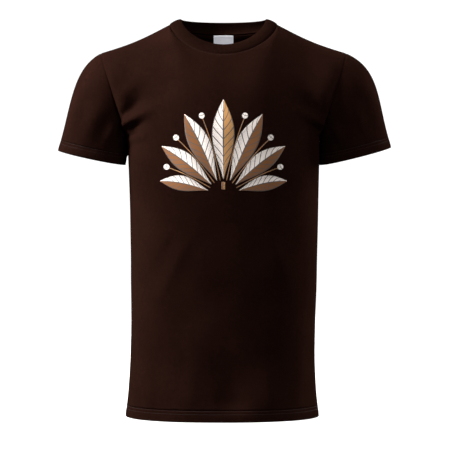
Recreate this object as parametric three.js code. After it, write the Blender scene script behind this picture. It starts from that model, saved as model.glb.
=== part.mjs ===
// A short-sleeved crew-neck T-shirt, opened out as it hangs on a wearer and standing on its hem.
// Millimetres, +Z up. The chest faces -Y and the origin is the middle of the hem, at its lower edge.
import * as THREE from "three";

// Driving dimensions: the whole shirt
const COLLAR_TOP = 711; // hem to the top of the collar at its sides
const JERSEY = 1.2; // body and sleeve cloth
const DOUBLED = 1.8; // cloth folded double in a hem
const RIB = 2; // knitted collar band
const SEAM_GAP = 0.3; // clear space left along every seam
const HEM_WIDTH = 20; // depth of the bottom and sleeve hems

// Driving dimensions: the body, as height, half width, chest depth and back depth
const BODY_SECTIONS = [
  [0, 172, 124, 110],
  [45, 167.5, 119, 105],
  [125, 164.5, 114, 100],
  [300, 167, 121, 106],
  [430, 170, 130, 116],
  [500, 172, 131, 119],
];
const SECTION_POWER = 2.35; // 2 is an ellipse, more is boxier
const ARMPIT_HEIGHT = 500;
const SHOULDER = { halfWidth: 220, height: 649 };
const NECK_SEAM = { halfWidth: 97, sideHeight: 701 };
const NECK_FRONT = { seamDepth: 80, seamHeight: 641, topDepth: 64, topHeight: 659 };
const NECK_BACK = { seamDepth: 63, seamHeight: 691, topDepth: 56, topHeight: 712 };
const COLLAR_TOP_HALF_WIDTH = 76;
const ARMHOLE_DEPTH = 66; // how far the armhole reaches in front of and behind the shoulder

// Driving dimensions: the sleeve, at the edge of its hem
const CUFF = { middleX: 237, middleHeight: 461.5, halfWidth: 61, halfDepth: 52, rise: 12, droop: 5 };

// Driving dimensions: the neck tape and label inside the back of the neck
const TAPE = { width: 10, thickness: 0.8 };
const LABEL = { width: 36, length: 44, thickness: 0.5 };

// Driving dimensions: the printed spray of leaves on the chest
const PRINT = { footHeight: 392, leafCount: 7, spread: 72, film: 0.5, clearance: 0.5 };
const LEAF = { middleLength: 165, sideLength: 112, start: 28, slimness: 0.115, curl: 5 };
const STEM = { from: 10, to: 23, halfWidth: 3.2 };

// How finely the cloth is faceted
const NECK_COLUMNS = 6; // from the middle of the neckline to the shoulder seam
const SHOULDER_COLUMNS = 8;
const BODY_ROWS = 12; // hem to armpit
const YOKE_ROWS = 12; // armpit to shoulder
const SLEEVE_ROWS = 7;
const NECK_EDGE_ANGLE = THREE.MathUtils.degToRad(32);

const QUARTER = Math.PI / 2;
const v3 = (x, y, z) => new THREE.Vector3(x, y, z);
const { lerp, smoothstep } = THREE.MathUtils;

// The value of a column of BODY_SECTIONS at a height, by a monotone blend of its neighbours.
function sectionValue(height, column) {
  const rows = BODY_SECTIONS;
  const last = rows.length - 2;
  let k = 0;
  while (k < last && height > rows[k + 1][0]) k += 1;
  const slope = (i) => {
    const a = rows[Math.max(i - 1, 0)];
    const b = rows[Math.min(i + 1, rows.length - 1)];
    return (b[column] - a[column]) / (b[0] - a[0]);
  };
  const span = rows[k + 1][0] - rows[k][0];
  const u = Math.min(Math.max((height - rows[k][0]) / span, 0), 1);
  return cubic(rows[k][column], rows[k + 1][column], slope(k) * span, slope(k + 1) * span, u);
}

// A cubic from a to b that leaves with slope p and arrives with slope q.
function cubic(a, b, p, q, u) {
  const u2 = u * u;
  const u3 = u2 * u;
  return (2 * u3 - 3 * u2 + 1) * a + (u3 - 2 * u2 + u) * p + (3 * u2 - 2 * u3) * b + (u3 - u2) * q;
}

function cubicPoint(a, b, p, q, u) {
  return v3(cubic(a.x, b.x, p.x, q.x, u), cubic(a.y, b.y, p.y, q.y, u), cubic(a.z, b.z, p.z, q.z, u));
}

// Soft folds: how far the chest or back stands out at a place, fading out at every seam.
function foldHeight(side, x, z) {
  const armpitX = 150;
  const reach = (cx, cz, angle, length, width) => {
    const dx = Math.abs(x) - cx;
    const dz = z - cz;
    const along = dx * Math.cos(angle) + dz * Math.sin(angle);
    const across = -dx * Math.sin(angle) + dz * Math.cos(angle);
    return Math.exp(-((along / length) ** 2) - (across / width) ** 2);
  };
  const drag = 4.5 * reach(armpitX, 545, 2.3, 40, 9) - 3.5 * reach(armpitX - 6, 527, 2.45, 34, 7);
  const underarm = 3 * reach(armpitX, 500, 2.9, 30, 8);
  const drape = 2.4 * Math.cos(x / 27 + side) * (1 - smoothstep(z, 40, 420)) * smoothstep(z, 0, 60);
  return drag + underarm + drape * smoothstep(170 - Math.abs(x), 0, 40);
}

// A point on the torso's section at a height. The angle runs from -90 degrees at one side seam to 90 at the other.
function sectionPoint(side, angle, height) {
  const across = Math.sin(angle);
  const depth = sectionValue(height, side < 0 ? 2 : 3);
  const x = sectionValue(height, 1) * across;
  const shape = (1 - Math.abs(across) ** SECTION_POWER) ** (1 / SECTION_POWER);
  const edge = 1 - Math.abs(across) ** 8;
  return v3(x, side * (depth * shape + foldHeight(side, x, height) * edge), height);
}

// How far the neckline has dipped: 1 at the middle of the front or back, levelling to 0 over the shoulder.
const dip = (turn) => Math.abs(Math.cos(turn)) ** 1.3;

// The neck seam: an oval in plan that dips at the front. The turn is 0 at the middle and a quarter at the shoulder.
function neckSeamPoint(side, turn) {
  const size = side < 0 ? NECK_FRONT : NECK_BACK;
  const z = lerp(NECK_SEAM.sideHeight, size.seamHeight, dip(turn));
  return v3(NECK_SEAM.halfWidth * Math.sin(turn), side * size.seamDepth * Math.cos(turn), z);
}

function collarTopPoint(side, turn) {
  const size = side < 0 ? NECK_FRONT : NECK_BACK;
  const z = lerp(COLLAR_TOP, size.topHeight, dip(turn));
  return v3(COLLAR_TOP_HALF_WIDTH * Math.sin(turn), side * size.topDepth * Math.cos(turn), z);
}

// The shoulder seam falls away from the neck, steeply at first.
function shoulderPoint(sign, share) {
  const x = lerp(NECK_SEAM.halfWidth, SHOULDER.halfWidth, share);
  const z = lerp(NECK_SEAM.sideHeight, SHOULDER.height, share) - 4.5 * Math.sin(Math.PI * share);
  return v3(sign * x, 0, z);
}

// The upper edge of a body panel: neckline in the middle, shoulder seams on either side.
function panelTop(side, angle) {
  const size = Math.abs(angle);
  const sign = angle < 0 ? -1 : 1;
  if (size <= NECK_EDGE_ANGLE) {
    const p = neckSeamPoint(side, (size / NECK_EDGE_ANGLE) * QUARTER);
    return v3(sign * p.x, p.y, p.z);
  }
  return shoulderPoint(sign, (size - NECK_EDGE_ANGLE) / (QUARTER - NECK_EDGE_ANGLE));
}

// Each column of the yoke is one cubic, from the armpit line up over the chest or back to the panel's top.
function yokePoint(side, angle, share) {
  const across = Math.abs(Math.sin(angle));
  const edge = across ** 8;
  const start = sectionPoint(side, angle, ARMPIT_HEIGHT);
  const end = panelTop(side, angle);
  const swing = 4 * ARMHOLE_DEPTH;
  const rise = side < 0 ? 165 : 200;
  const lean = side < 0 ? lerp(75, 175, smoothstep(across, 0, 0.6)) : lerp(95, 175, smoothstep(across, 0, 0.6));
  const leave = v3(0, side * swing * edge, (rise + 70 * across) * (1 - edge));
  const arrive = v3(0, -side * lerp(lean, swing, edge), lerp(100, 25, smoothstep(across, 0, 0.7)) * (1 - edge));
  const p = cubicPoint(start, end, leave, arrive, share);
  const fold = foldHeight(side, p.x, p.z) * (1 - edge) * smoothstep(1 - share, 0, 0.4) * smoothstep(share, 0, 0.05);
  p.y += side * fold;
  return p;
}

// A body panel from hem seam to top: share 0 to 1 is below the armpit and 1 to 2 above it.
function panelPoint(side, angle, share) {
  if (share <= 1) return sectionPoint(side, angle, lerp(HEM_WIDTH, ARMPIT_HEIGHT, share));
  return yokePoint(side, angle, share - 1);
}

// The cuff edge: an ellipse that starts at the underarm, passes the front and comes back behind.
function cuffPoint(sign, turn) {
  const out = -Math.cos(turn);
  const front = Math.sin(turn);
  return v3(
    sign * (CUFF.middleX + CUFF.halfWidth * out),
    -CUFF.halfDepth * front,
    CUFF.middleHeight + CUFF.rise * out - CUFF.droop * front,
  );
}

// Which way the cloth runs down the arm where it reaches the cuff.
function armDirection(sign, turn) {
  const outer = (1 - Math.cos(turn)) / 2;
  return v3(sign * lerp(0.06, 0.27, outer), 0, -1).normalize();
}

function cuffSeamPoint(sign, turn) {
  return cuffPoint(sign, turn).addScaledVector(armDirection(sign, turn), -HEM_WIDTH);
}

// The armhole seam is the edge of the body panels: front from the armpit up, then back down again.
function armholePoint(sign, turn) {
  const side = turn <= Math.PI ? -1 : 1;
  const share = turn <= Math.PI ? turn / Math.PI : 2 - turn / Math.PI;
  return panelPoint(side, sign * QUARTER, 1 + share);
}

function armholeNormal(sign, turn) {
  const outer = (1 - Math.cos(turn)) / 2;
  return v3(sign * lerp(1, 0.35, outer), -Math.sin(turn), -Math.cos(turn)).normalize();
}

// The cloth crosses the armhole seam outwards and, over the shoulder, downwards.
function armholeCrossing(sign, turn) {
  const outer = (1 - Math.cos(turn)) / 2;
  return v3(sign, 0, -0.4 * outer).normalize();
}

function sleevePoint(sign, turn, share) {
  const outer = (1 - Math.cos(turn)) / 2;
  const front = Math.sin(turn);
  const leave = v3(sign * lerp(22, 160, outer), -18 * front, lerp(-30, -74, outer) - 34 * Math.abs(front));
  const arrive = armDirection(sign, turn).multiplyScalar(lerp(30, 210, outer));
  return cubicPoint(armholePoint(sign, turn), cuffSeamPoint(sign, turn), leave, arrive, share);
}

// Two closely spaced faces from a grid of points, closed all round its rim. Each face is split alike.
function shellGeometry(rows, thickness, { wrap = false, flip = false, rimNormal = () => null } = {}) {
  const nRows = rows.length;
  const nCols = rows[0].length;
  const at = (i, j) => rows[i][wrap ? (j + nCols) % nCols : Math.min(Math.max(j, 0), nCols - 1)];
  const outer = [];
  const inner = [];
  for (let i = 0; i < nRows; i++) {
    for (let j = 0; j < nCols; j++) {
      const along = at(i, j + 1).clone().sub(at(i, j - 1));
      const up = rows[Math.min(i + 1, nRows - 1)][j].clone().sub(rows[Math.max(i - 1, 0)][j]);
      const normal = rimNormal(i, j) ?? along.cross(up).normalize().multiplyScalar(flip ? -1 : 1);
      outer.push(rows[i][j].clone().addScaledVector(normal, thickness / 2));
      inner.push(rows[i][j].clone().addScaledVector(normal, -thickness / 2));
    }
  }
  const points = outer.concat(inner);
  const size = outer.length;
  const id = (i, j) => i * nCols + (wrap ? (j + nCols) % nCols : j);
  const faces = [];
  const quad = (a, b, c, d) => faces.push(a, b, c, a, c, d);
  const lastCol = wrap ? nCols : nCols - 1;
  for (let i = 0; i < nRows - 1; i++) {
    for (let j = 0; j < lastCol; j++) {
      const [a, b, c, d] = [id(i, j), id(i, j + 1), id(i + 1, j + 1), id(i + 1, j)];
      quad(a, b, c, d);
      faces.push(a + size, c + size, b + size, a + size, d + size, c + size);
    }
  }
  for (let j = 0; j < lastCol; j++) {
    quad(id(0, j + 1), id(0, j), id(0, j) + size, id(0, j + 1) + size);
    quad(id(nRows - 1, j), id(nRows - 1, j + 1), id(nRows - 1, j + 1) + size, id(nRows - 1, j) + size);
  }
  for (let i = 0; i < nRows - 1 && !wrap; i++) {
    quad(id(i, 0), id(i + 1, 0), id(i + 1, 0) + size, id(i, 0) + size);
    quad(id(i + 1, nCols - 1), id(i, nCols - 1), id(i, nCols - 1) + size, id(i + 1, nCols - 1) + size);
  }
  if (flip) faces.reverse();
  const geometry = new THREE.BufferGeometry().setFromPoints(points);
  geometry.setIndex(faces);
  return geometry;
}

// Panel columns: the angles of the neckline columns, then those of the shoulder columns, mirrored.
function columnAngles() {
  const half = [];
  for (let i = 1; i <= NECK_COLUMNS; i++) half.push((NECK_EDGE_ANGLE * i) / NECK_COLUMNS);
  for (let i = 1; i <= SHOULDER_COLUMNS; i++) {
    half.push(lerp(NECK_EDGE_ANGLE, QUARTER, i / SHOULDER_COLUMNS));
  }
  return [...half.map((a) => -a).reverse(), 0, ...half];
}

const COLUMNS = columnAngles();
const LAST_COLUMN = COLUMNS.length - 1;
const LAST_ROW = BODY_ROWS + YOKE_ROWS;
const rowShare = (i) => (i <= BODY_ROWS ? i / BODY_ROWS : 1 + (i - BODY_ROWS) / YOKE_ROWS);
const inNeckline = (angle) => Math.abs(angle) <= NECK_EDGE_ANGLE + 1e-9;

// The collar band runs up and inwards from the neck seam.
function bandDirection(side, turn, sign) {
  const d = collarTopPoint(side, turn).sub(neckSeamPoint(side, turn)).normalize();
  return v3(sign * d.x, d.y, d.z);
}

function neckNormal(side, turn, sign) {
  const step = 1e-3;
  const ahead = neckSeamPoint(side, turn + step).sub(neckSeamPoint(side, turn - step));
  const band = bandDirection(side, turn, 1);
  const n = ahead.cross(band).multiplyScalar(side < 0 ? 1 : -1).normalize();
  return v3(sign * n.x, n.y, n.z);
}

function neckTurn(angle) {
  return (Math.abs(angle) / NECK_EDGE_ANGLE) * QUARTER;
}

function shoulderNormal(angle) {
  const sign = angle < 0 ? -1 : 1;
  const share = (Math.abs(angle) - NECK_EDGE_ANGLE) / (QUARTER - NECK_EDGE_ANGLE);
  const d = shoulderPoint(1, Math.min(share + 0.01, 1)).sub(shoulderPoint(1, Math.max(share - 0.01, 0)));
  return v3(-d.z * sign, 0, d.x).normalize();
}

function sectionNormal(side, angle, height) {
  if (Math.abs(angle) > QUARTER - 1e-6) return v3(Math.sign(angle), 0, 0);
  const step = 1e-3;
  const d = sectionPoint(side, angle + step, height).sub(sectionPoint(side, angle - step, height));
  return v3(-side * d.y, side * d.x, 0).normalize();
}

// One body panel. Its edges draw back from the neighbours by half the seam gap.
function bodyPanel(side) {
  const pull = SEAM_GAP / 2;
  const rows = [];
  for (let i = 0; i <= LAST_ROW; i++) {
    rows.push(
      COLUMNS.map((angle, j) => {
        const sign = angle < 0 ? -1 : 1;
        const p = panelPoint(side, angle, rowShare(i));
        const atEdge = j === 0 || j === LAST_COLUMN;
        if (i === 0) p.z += pull;
        if (atEdge && i <= BODY_ROWS) p.y += side * pull;
        if (atEdge && i >= BODY_ROWS) {
          p.addScaledVector(armholeCrossing(sign, ((i - BODY_ROWS) / YOKE_ROWS) * Math.PI), -pull);
        }
        if (i === LAST_ROW && inNeckline(angle)) {
          p.addScaledVector(bandDirection(side, neckTurn(angle), sign), -pull);
        }
        if (i === LAST_ROW && Math.abs(angle) >= NECK_EDGE_ANGLE - 1e-9) p.y += side * pull;
        return p;
      }),
    );
  }
  const rimNormal = (i, j) => {
    const angle = COLUMNS[j];
    const sign = angle < 0 ? -1 : 1;
    const atEdge = j === 0 || j === LAST_COLUMN;
    if (atEdge && i >= BODY_ROWS) {
      const n = armholeNormal(sign, ((i - BODY_ROWS) / YOKE_ROWS) * Math.PI);
      return v3(n.x, -side * n.y, n.z);
    }
    if (i === LAST_ROW && inNeckline(angle)) return neckNormal(side, neckTurn(angle), sign);
    if (i === LAST_ROW) return shoulderNormal(angle);
    if (atEdge) return v3(sign, 0, 0);
    if (i === 0) return sectionNormal(side, angle, HEM_WIDTH);
    return null;
  };
  return shellGeometry(rows, JERSEY, { flip: side > 0, rimNormal });
}

// The hem's closed loop of section angles: across the front, then back behind.
const HEM_LOOP = [
  ...COLUMNS.slice(0, -1).map((angle) => [-1, angle]),
  ...COLUMNS.slice(1).reverse().map((angle) => [1, angle]),
];

function bottomHem() {
  const heights = [0, HEM_WIDTH - SEAM_GAP / 2];
  const rows = heights.map((z) =>
    HEM_LOOP.map(([side, angle]) => {
      const p = sectionPoint(side, angle, Math.max(z, HEM_WIDTH));
      const low = sectionPoint(side, angle, z);
      return z === 0 ? low : v3(p.x, p.y, z);
    }),
  );
  const rimNormal = (i, j) => sectionNormal(...HEM_LOOP[j], HEM_WIDTH);
  return shellGeometry(rows, DOUBLED, { wrap: true, rimNormal });
}

const SLEEVE_TURNS = Array.from({ length: 2 * YOKE_ROWS }, (_, k) => (k / YOKE_ROWS) * Math.PI);

function cuffNormal(sign, turn) {
  const step = 1e-3;
  const ahead = cuffPoint(sign, turn + step).sub(cuffPoint(sign, turn - step));
  return ahead.cross(armDirection(sign, turn)).multiplyScalar(-sign).normalize();
}

function sleeve(sign) {
  const pull = SEAM_GAP / 2;
  const rows = [];
  for (let i = 0; i <= SLEEVE_ROWS; i++) {
    rows.push(
      SLEEVE_TURNS.map((turn) => {
        const p = sleevePoint(sign, turn, i / SLEEVE_ROWS);
        if (i === 0) p.addScaledVector(armholeCrossing(sign, turn), pull);
        if (i === SLEEVE_ROWS) p.addScaledVector(armDirection(sign, turn), -pull);
        return p;
      }),
    );
  }
  const rimNormal = (i, j) => {
    if (i === 0) return armholeNormal(sign, SLEEVE_TURNS[j]);
    if (i === SLEEVE_ROWS) return cuffNormal(sign, SLEEVE_TURNS[j]);
    return null;
  };
  return shellGeometry(rows, JERSEY, { wrap: true, flip: sign > 0, rimNormal });
}

function sleeveHem(sign) {
  const rows = [HEM_WIDTH - SEAM_GAP / 2, 0].map((back) =>
    SLEEVE_TURNS.map((turn) => cuffPoint(sign, turn).addScaledVector(armDirection(sign, turn), -back)),
  );
  const rimNormal = (i, j) => cuffNormal(sign, SLEEVE_TURNS[j]);
  return shellGeometry(rows, DOUBLED, { wrap: true, flip: sign > 0, rimNormal });
}

// The collar's closed loop of [side, turn, sign], one for each neckline column of the panels.
const NECK_LOOP = [];
for (const side of [-1, 1]) {
  const angles = COLUMNS.filter(inNeckline);
  const ordered = side < 0 ? angles.slice(0, -1) : angles.slice(1).reverse();
  for (const angle of ordered) NECK_LOOP.push([side, neckTurn(angle), angle < 0 ? -1 : 1]);
}

function collar() {
  const pull = SEAM_GAP / 2;
  const shares = [0, 0.5, 1];
  const bulge = 1.5; // the band arches a little between its seam and its fold
  const rows = shares.map((share) =>
    NECK_LOOP.map(([side, turn, sign]) => {
      const low = neckSeamPoint(side, turn);
      const high = collarTopPoint(side, turn);
      const p = low.lerp(high, share);
      p.x *= sign;
      p.addScaledVector(neckNormal(side, turn, sign), bulge * Math.sin(Math.PI * share));
      if (share === 0) p.addScaledVector(bandDirection(side, turn, sign), pull);
      return p;
    }),
  );
  const rimNormal = (i, j) => neckNormal(...NECK_LOOP[j]);
  return shellGeometry(rows, RIB, { wrap: true, rimNormal });
}

// A point inside the back of the neck: so far below the neck seam, and so far in from the cloth's middle.
function insideNeckPoint(angle, below, inset) {
  const row = 1 - 1 / YOKE_ROWS;
  const top = yokePoint(1, angle, 1);
  const down = yokePoint(1, angle, row).sub(top).normalize();
  const across = yokePoint(1, angle + 0.05, row).sub(yokePoint(1, angle - 0.05, row));
  const inward = down.clone().cross(across).normalize();
  return top.addScaledVector(down, below).addScaledVector(inward, inset);
}

function neckTape() {
  const inset = JERSEY / 2 + SEAM_GAP + 0.6 + TAPE.thickness / 2;
  const angles = COLUMNS.filter((angle) => Math.abs(angle) < NECK_EDGE_ANGLE - 1e-6);
  const rows = [2.5 + TAPE.width, 2.5].map((below) =>
    angles.map((angle) => insideNeckPoint(angle, below, inset)),
  );
  return shellGeometry(rows, TAPE.thickness);
}

function neckLabel() {
  const start = 3;
  const rows = [];
  for (let i = 0; i <= 4; i++) {
    const share = i / 4;
    const inset = JERSEY / 2 + SEAM_GAP + TAPE.thickness + 2.2 + 3.5 * share;
    const z = neckSeamPoint(1, 0).z - start - LABEL.length * share;
    rows.push(
      [-1, -0.5, 0, 0.5, 1].map((t) => {
        const x = (t * LABEL.width) / 2;
        const y = labelDepth(z) - inset - 0.8 * (1 - t * t);
        return v3(x, y, z);
      }),
    );
  }
  return shellGeometry(rows, LABEL.thickness);
}

// How far behind the middle the back panel lies at a height, near its centre line.
function labelDepth(z) {
  let low = 0;
  let high = 1;
  for (let k = 0; k < 30; k++) {
    const middle = (low + high) / 2;
    if (yokePoint(1, 0, middle).z < z) low = middle;
    else high = middle;
  }
  return Math.min(yokePoint(1, 0, low).y, yokePoint(1, 0.18, low).y);
}

// Where the chest has a given distance from the centre line and a given height, on the outside of the print.
function chestPoint(x, z) {
  let angle = Math.asin(x / sectionValue(z, 1));
  let share = z < ARMPIT_HEIGHT ? z / ARMPIT_HEIGHT : 1 + (z - ARMPIT_HEIGHT) / 170;
  for (let k = 0; k < 40; k++) {
    const p = panelPoint(-1, angle, share);
    angle += (x - p.x) / 180;
    share += (z - p.z) / (share < 1 ? 480 : 260);
  }
  const p = panelPoint(-1, angle, share);
  const across = panelPoint(-1, angle + 0.01, share).sub(panelPoint(-1, angle - 0.01, share));
  const up = panelPoint(-1, angle, share + 0.01).sub(panelPoint(-1, angle, share - 0.01));
  const lift = JERSEY / 2 + PRINT.clearance + PRINT.film / 2;
  return p.addScaledVector(across.cross(up).normalize(), lift);
}

// A print motif is a strip about a line that leaves the spray's foot; the angle is measured from upright.
function motif(angleAt, distanceAt, widthAt, steps) {
  const rows = [];
  for (let i = 0; i <= steps; i++) {
    const t = i / steps;
    const angle = THREE.MathUtils.degToRad(angleAt(t));
    const r = distanceAt(t);
    rows.push(
      [-1, 0, 1].map((edge) => {
        const x = r * Math.sin(angle) + edge * widthAt(t) * Math.cos(angle);
        const z = PRINT.footHeight + r * Math.cos(angle) - edge * widthAt(t) * Math.sin(angle);
        return chestPoint(x, z);
      }),
    );
  }
  return shellGeometry(rows, PRINT.film);
}

function leaf(k) {
  const place = (2 * k) / (PRINT.leafCount - 1) - 1;
  const length = lerp(LEAF.middleLength, LEAF.sideLength, Math.abs(place) ** 1.5);
  const width = (t) => 0.6 + LEAF.slimness * length * Math.sin(Math.PI * t ** 1.2);
  return motif((t) => place * (PRINT.spread + LEAF.curl * t * t), (t) => lerp(LEAF.start, length, t), width, 12);
}

const cloth = (color, roughness) => new THREE.MeshStandardMaterial({ color, roughness, metalness: 0 });
const JERSEY_LOOK = cloth(0x33201d, 0.9);
const RIB_LOOK = cloth(0x2c1a18, 0.92);
const TAPE_LOOK = cloth(0x3a2622, 0.9);
const LABEL_LOOK = cloth(0xe4e4e6, 0.6);
const BROWN_INK = cloth(0x7a5432, 0.7);
const PALE_INK = cloth(0xf2e9e6, 0.7);

const shirt = new THREE.Group();
function add(name, geometry, material) {
  const mesh = new THREE.Mesh(geometry, material);
  mesh.name = name;
  shirt.add(mesh);
}

add("front_panel", bodyPanel(-1), JERSEY_LOOK);
add("back_panel", bodyPanel(1), JERSEY_LOOK);
add("bottom_hem", bottomHem(), JERSEY_LOOK);
for (const [name, sign] of [["left", 1], ["right", -1]]) {
  add(`sleeve_${name}`, sleeve(sign), JERSEY_LOOK);
  add(`sleeve_hem_${name}`, sleeveHem(sign), JERSEY_LOOK);
}
add("collar_rib", collar(), RIB_LOOK);
add("neck_tape", neckTape(), TAPE_LOOK);
add("neck_label", neckLabel(), LABEL_LOOK);
for (let k = 0; k < PRINT.leafCount; k++) {
  add(`print_leaf_${k + 1}`, leaf(k), k % 2 ? PALE_INK : BROWN_INK);
}
add(
  "print_stem",
  motif(() => 0, (t) => lerp(STEM.from, STEM.to, t), () => STEM.halfWidth, 2),
  BROWN_INK,
);

// The chest is deeper than the back, so the shirt is set forward or back to centre its depth on the origin.
const extent = new THREE.Box3().setFromObject(shirt);
shirt.position.y = -(extent.min.y + extent.max.y) / 2;

export default shirt;
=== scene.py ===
# %% [markdown]
# A short-sleeved crew-neck T-shirt in dark brown cotton jersey, opened out as it looks when worn.
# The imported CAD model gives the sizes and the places. This script keeps its formulas for the cloth,
# works them out on a much finer grid, and adds what makes a flat sheet of knitting look like a shirt:
# folds, sunken seams, a ribbed collar, rows of real stitches, a printed spray of leaves and the knit.

# %% The frame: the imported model, in metres, with the hem's lower edge at z = 0
import functools
import math

import bpy
import numpy as np
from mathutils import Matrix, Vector


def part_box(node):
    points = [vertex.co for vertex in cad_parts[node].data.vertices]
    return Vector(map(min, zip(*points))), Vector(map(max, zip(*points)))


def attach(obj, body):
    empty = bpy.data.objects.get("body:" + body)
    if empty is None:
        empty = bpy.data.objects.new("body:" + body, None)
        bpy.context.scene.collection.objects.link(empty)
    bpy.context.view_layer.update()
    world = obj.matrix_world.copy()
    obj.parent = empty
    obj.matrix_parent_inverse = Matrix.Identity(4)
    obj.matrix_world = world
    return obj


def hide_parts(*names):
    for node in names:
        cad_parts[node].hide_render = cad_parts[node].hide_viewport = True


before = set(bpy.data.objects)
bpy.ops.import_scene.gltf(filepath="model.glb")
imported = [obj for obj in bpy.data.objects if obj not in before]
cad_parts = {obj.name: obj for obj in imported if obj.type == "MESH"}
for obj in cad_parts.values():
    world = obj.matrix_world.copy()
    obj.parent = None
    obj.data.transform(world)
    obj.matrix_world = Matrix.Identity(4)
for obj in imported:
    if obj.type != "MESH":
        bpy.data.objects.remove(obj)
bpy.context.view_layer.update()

# %% [markdown]
# Every shape below is a function of two parameters, worked out in millimetres as whole arrays.
# The first helpers are a cubic that leaves and arrives with given slopes, and a smooth step.

# %% Units and small curves
MM = 0.001
QUARTER = math.pi / 2


def lerp(a, b, t):
    """The mix of a and b: a at t = 0 and b at t = 1."""
    return a + (b - a) * t


def smoothstep(x, low, high):
    """0 below low, 1 above high, and 3t^2 - 2t^3 of the share t in between."""
    t = np.clip((x - low) / (high - low), 0, 1)
    return t * t * (3 - 2 * t)


def cubic(a, b, p, q, u):
    """The Hermite cubic from a to b that leaves with slope p and arrives with slope q."""
    u2, u3 = u * u, u * u * u
    return (2 * u3 - 3 * u2 + 1) * a + (u3 - 2 * u2 + u) * p + (3 * u2 - 2 * u3) * b + (u3 - u2) * q


def vec(x, y, z):
    """Coordinates stacked into points, the last axis being x, y, z."""
    return np.stack(np.broadcast_arrays(x, y, z), axis=-1).astype(float)


def unit(v):
    """Each vector divided by its length."""
    return v / np.maximum(np.linalg.norm(v, axis=-1, keepdims=True), 1e-9)


def between(x, places, points):
    """The point at each x on straight lines between points that are given at places."""
    return np.stack([np.interp(x, places, column) for column in points.T], axis=-1)


def lengths(points, axis):
    """The distance run along an axis of a grid of points, 0 at its first."""
    steps = np.linalg.norm(np.diff(points, axis=axis), axis=-1)
    return np.insert(np.cumsum(steps, axis=axis), 0, 0, axis=axis)


# %% [markdown]
# The body is a stack of superellipses, boxier than ellipses, as cloth over a chest is. Its rows are
# the CAD's own height, half width, chest depth and back depth, and how far the cloth hangs to one
# side. Above the armpits each upright line of the cloth is one cubic that climbs the chest and lies
# back over the shoulder, and the outermost line bulges forward and back again, which makes the armhole.

# %% The shirt's driving dimensions
BODY_SECTIONS = np.array(
    [
        [0, 172.8, 124, 110, -2.6],
        [45, 168, 119, 105, -2.2],
        [125, 164.5, 114, 100, -1.2],
        [300, 167, 121, 106, 1.2],
        [430, 170, 130, 116, 0.8],
        [500, 172, 131, 119, 0],
    ],
    float,
)
SECTION_POWER = 2.35
ARMPIT_HEIGHT = 500
HEM_WIDTH = 20
JERSEY = 1.2
RIB = 2.0
COLLAR_TOP = 711
COLLAR_TOP_HALF_WIDTH = 76
SHOULDER_HALF_WIDTH, SHOULDER_HEIGHT = 220, 649
NECK_HALF_WIDTH, NECK_SIDE_HEIGHT = 97, 701
NECK_FRONT = {"seam_depth": 80, "seam_height": 641, "top_depth": 64, "top_height": 659}
NECK_BACK = {"seam_depth": 63, "seam_height": 691, "top_depth": 56, "top_height": 712}
NECK_DIP = 1.3
NECK_EDGE_ANGLE = math.radians(32)
EASED_SPREAD = 0.24
SHOULDER_SAG = 4.5
ARMHOLE_DEPTH = 66
# The yoke's middle: how strongly it climbs from the armpit line, and how far it leans back at its top.
YOKE = {-1: {"rise": 165, "lean": 75}, 1: {"rise": 200, "lean": 95}}
# The left (+x) and the right sleeve's hem: lean is its slope at the underarm, swell the cap's push outwards.
CUFFS = {
    1: {"x": 237.6, "z": 465, "half_width": 63.4, "rise": 16, "lean": 0, "swell": 178},
    -1: {"x": 237, "z": 462.3, "half_width": 60.2, "rise": 13, "lean": 0.16, "swell": 146},
}
CUFF_HALF_DEPTH, CUFF_DROOP = 52, 5

# The solids' two sides are mirror images and their depth is centred on the origin. The cloth hangs a few
# millimetres differently from side to side, and its own y is moved by as much as the solids' is.
hem_low, hem_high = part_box("bottom_hem")
hem_middle = np.array([0, (BODY_SECTIONS[0, 3] - BODY_SECTIONS[0, 2]) / 2, 0])
MOVED = np.array([(hem_low.x + hem_high.x) / 2, (hem_low.y + hem_high.y) / 2, 0]) / MM - hem_middle
print("the formulas' points are moved by", MOVED.round(2), "mm")


# %% The body and yoke as functions of angle and height
def section_value(height, column):
    """A column of BODY_SECTIONS at a height: cubics between rows, sloped as the line between neighbours."""
    z, v = BODY_SECTIONS[:, 0], BODY_SECTIONS[:, column]
    slope = np.gradient(v, z)
    slope[1:-1] = (v[2:] - v[:-2]) / (z[2:] - z[:-2])
    k = np.clip(np.searchsorted(z, height, side="right") - 1, 0, len(z) - 2)
    span = z[k + 1] - z[k]
    u = np.clip((height - z[k]) / span, 0, 1)
    return cubic(v[k], v[k + 1], slope[k] * span, slope[k + 1] * span, u)


def section_point(side, angle, height):
    """x = hang + half width times the sine; y = depth times (1 - |sine|^p)^(1/p), forward for side -1."""
    across = np.sin(angle)
    depth = section_value(height, 2 if side < 0 else 3)
    shape = np.maximum(1 - np.abs(across) ** SECTION_POWER, 0) ** (1 / SECTION_POWER)
    return vec(section_value(height, 4) + section_value(height, 1) * across, side * depth * shape, height)


def neck_oval(side, turn, half_width, side_height, depth, height):
    """An oval in plan, at side_height over the shoulders and dipping by a power of the cosine to height."""
    dip = np.abs(np.cos(turn)) ** NECK_DIP
    return vec(half_width * np.sin(turn), side * depth * np.cos(turn), lerp(side_height, height, dip))


def neck_seam_point(side, turn):
    """The seam between the collar and the body; the turn is 0 in the middle, a quarter at the shoulder."""
    size = NECK_FRONT if side < 0 else NECK_BACK
    return neck_oval(side, turn, NECK_HALF_WIDTH, NECK_SIDE_HEIGHT, size["seam_depth"], size["seam_height"])


def collar_top_point(side, turn):
    """The collar's folded upper edge."""
    size = NECK_FRONT if side < 0 else NECK_BACK
    return neck_oval(side, turn, COLLAR_TOP_HALF_WIDTH, COLLAR_TOP, size["top_depth"], size["top_height"])


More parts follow.
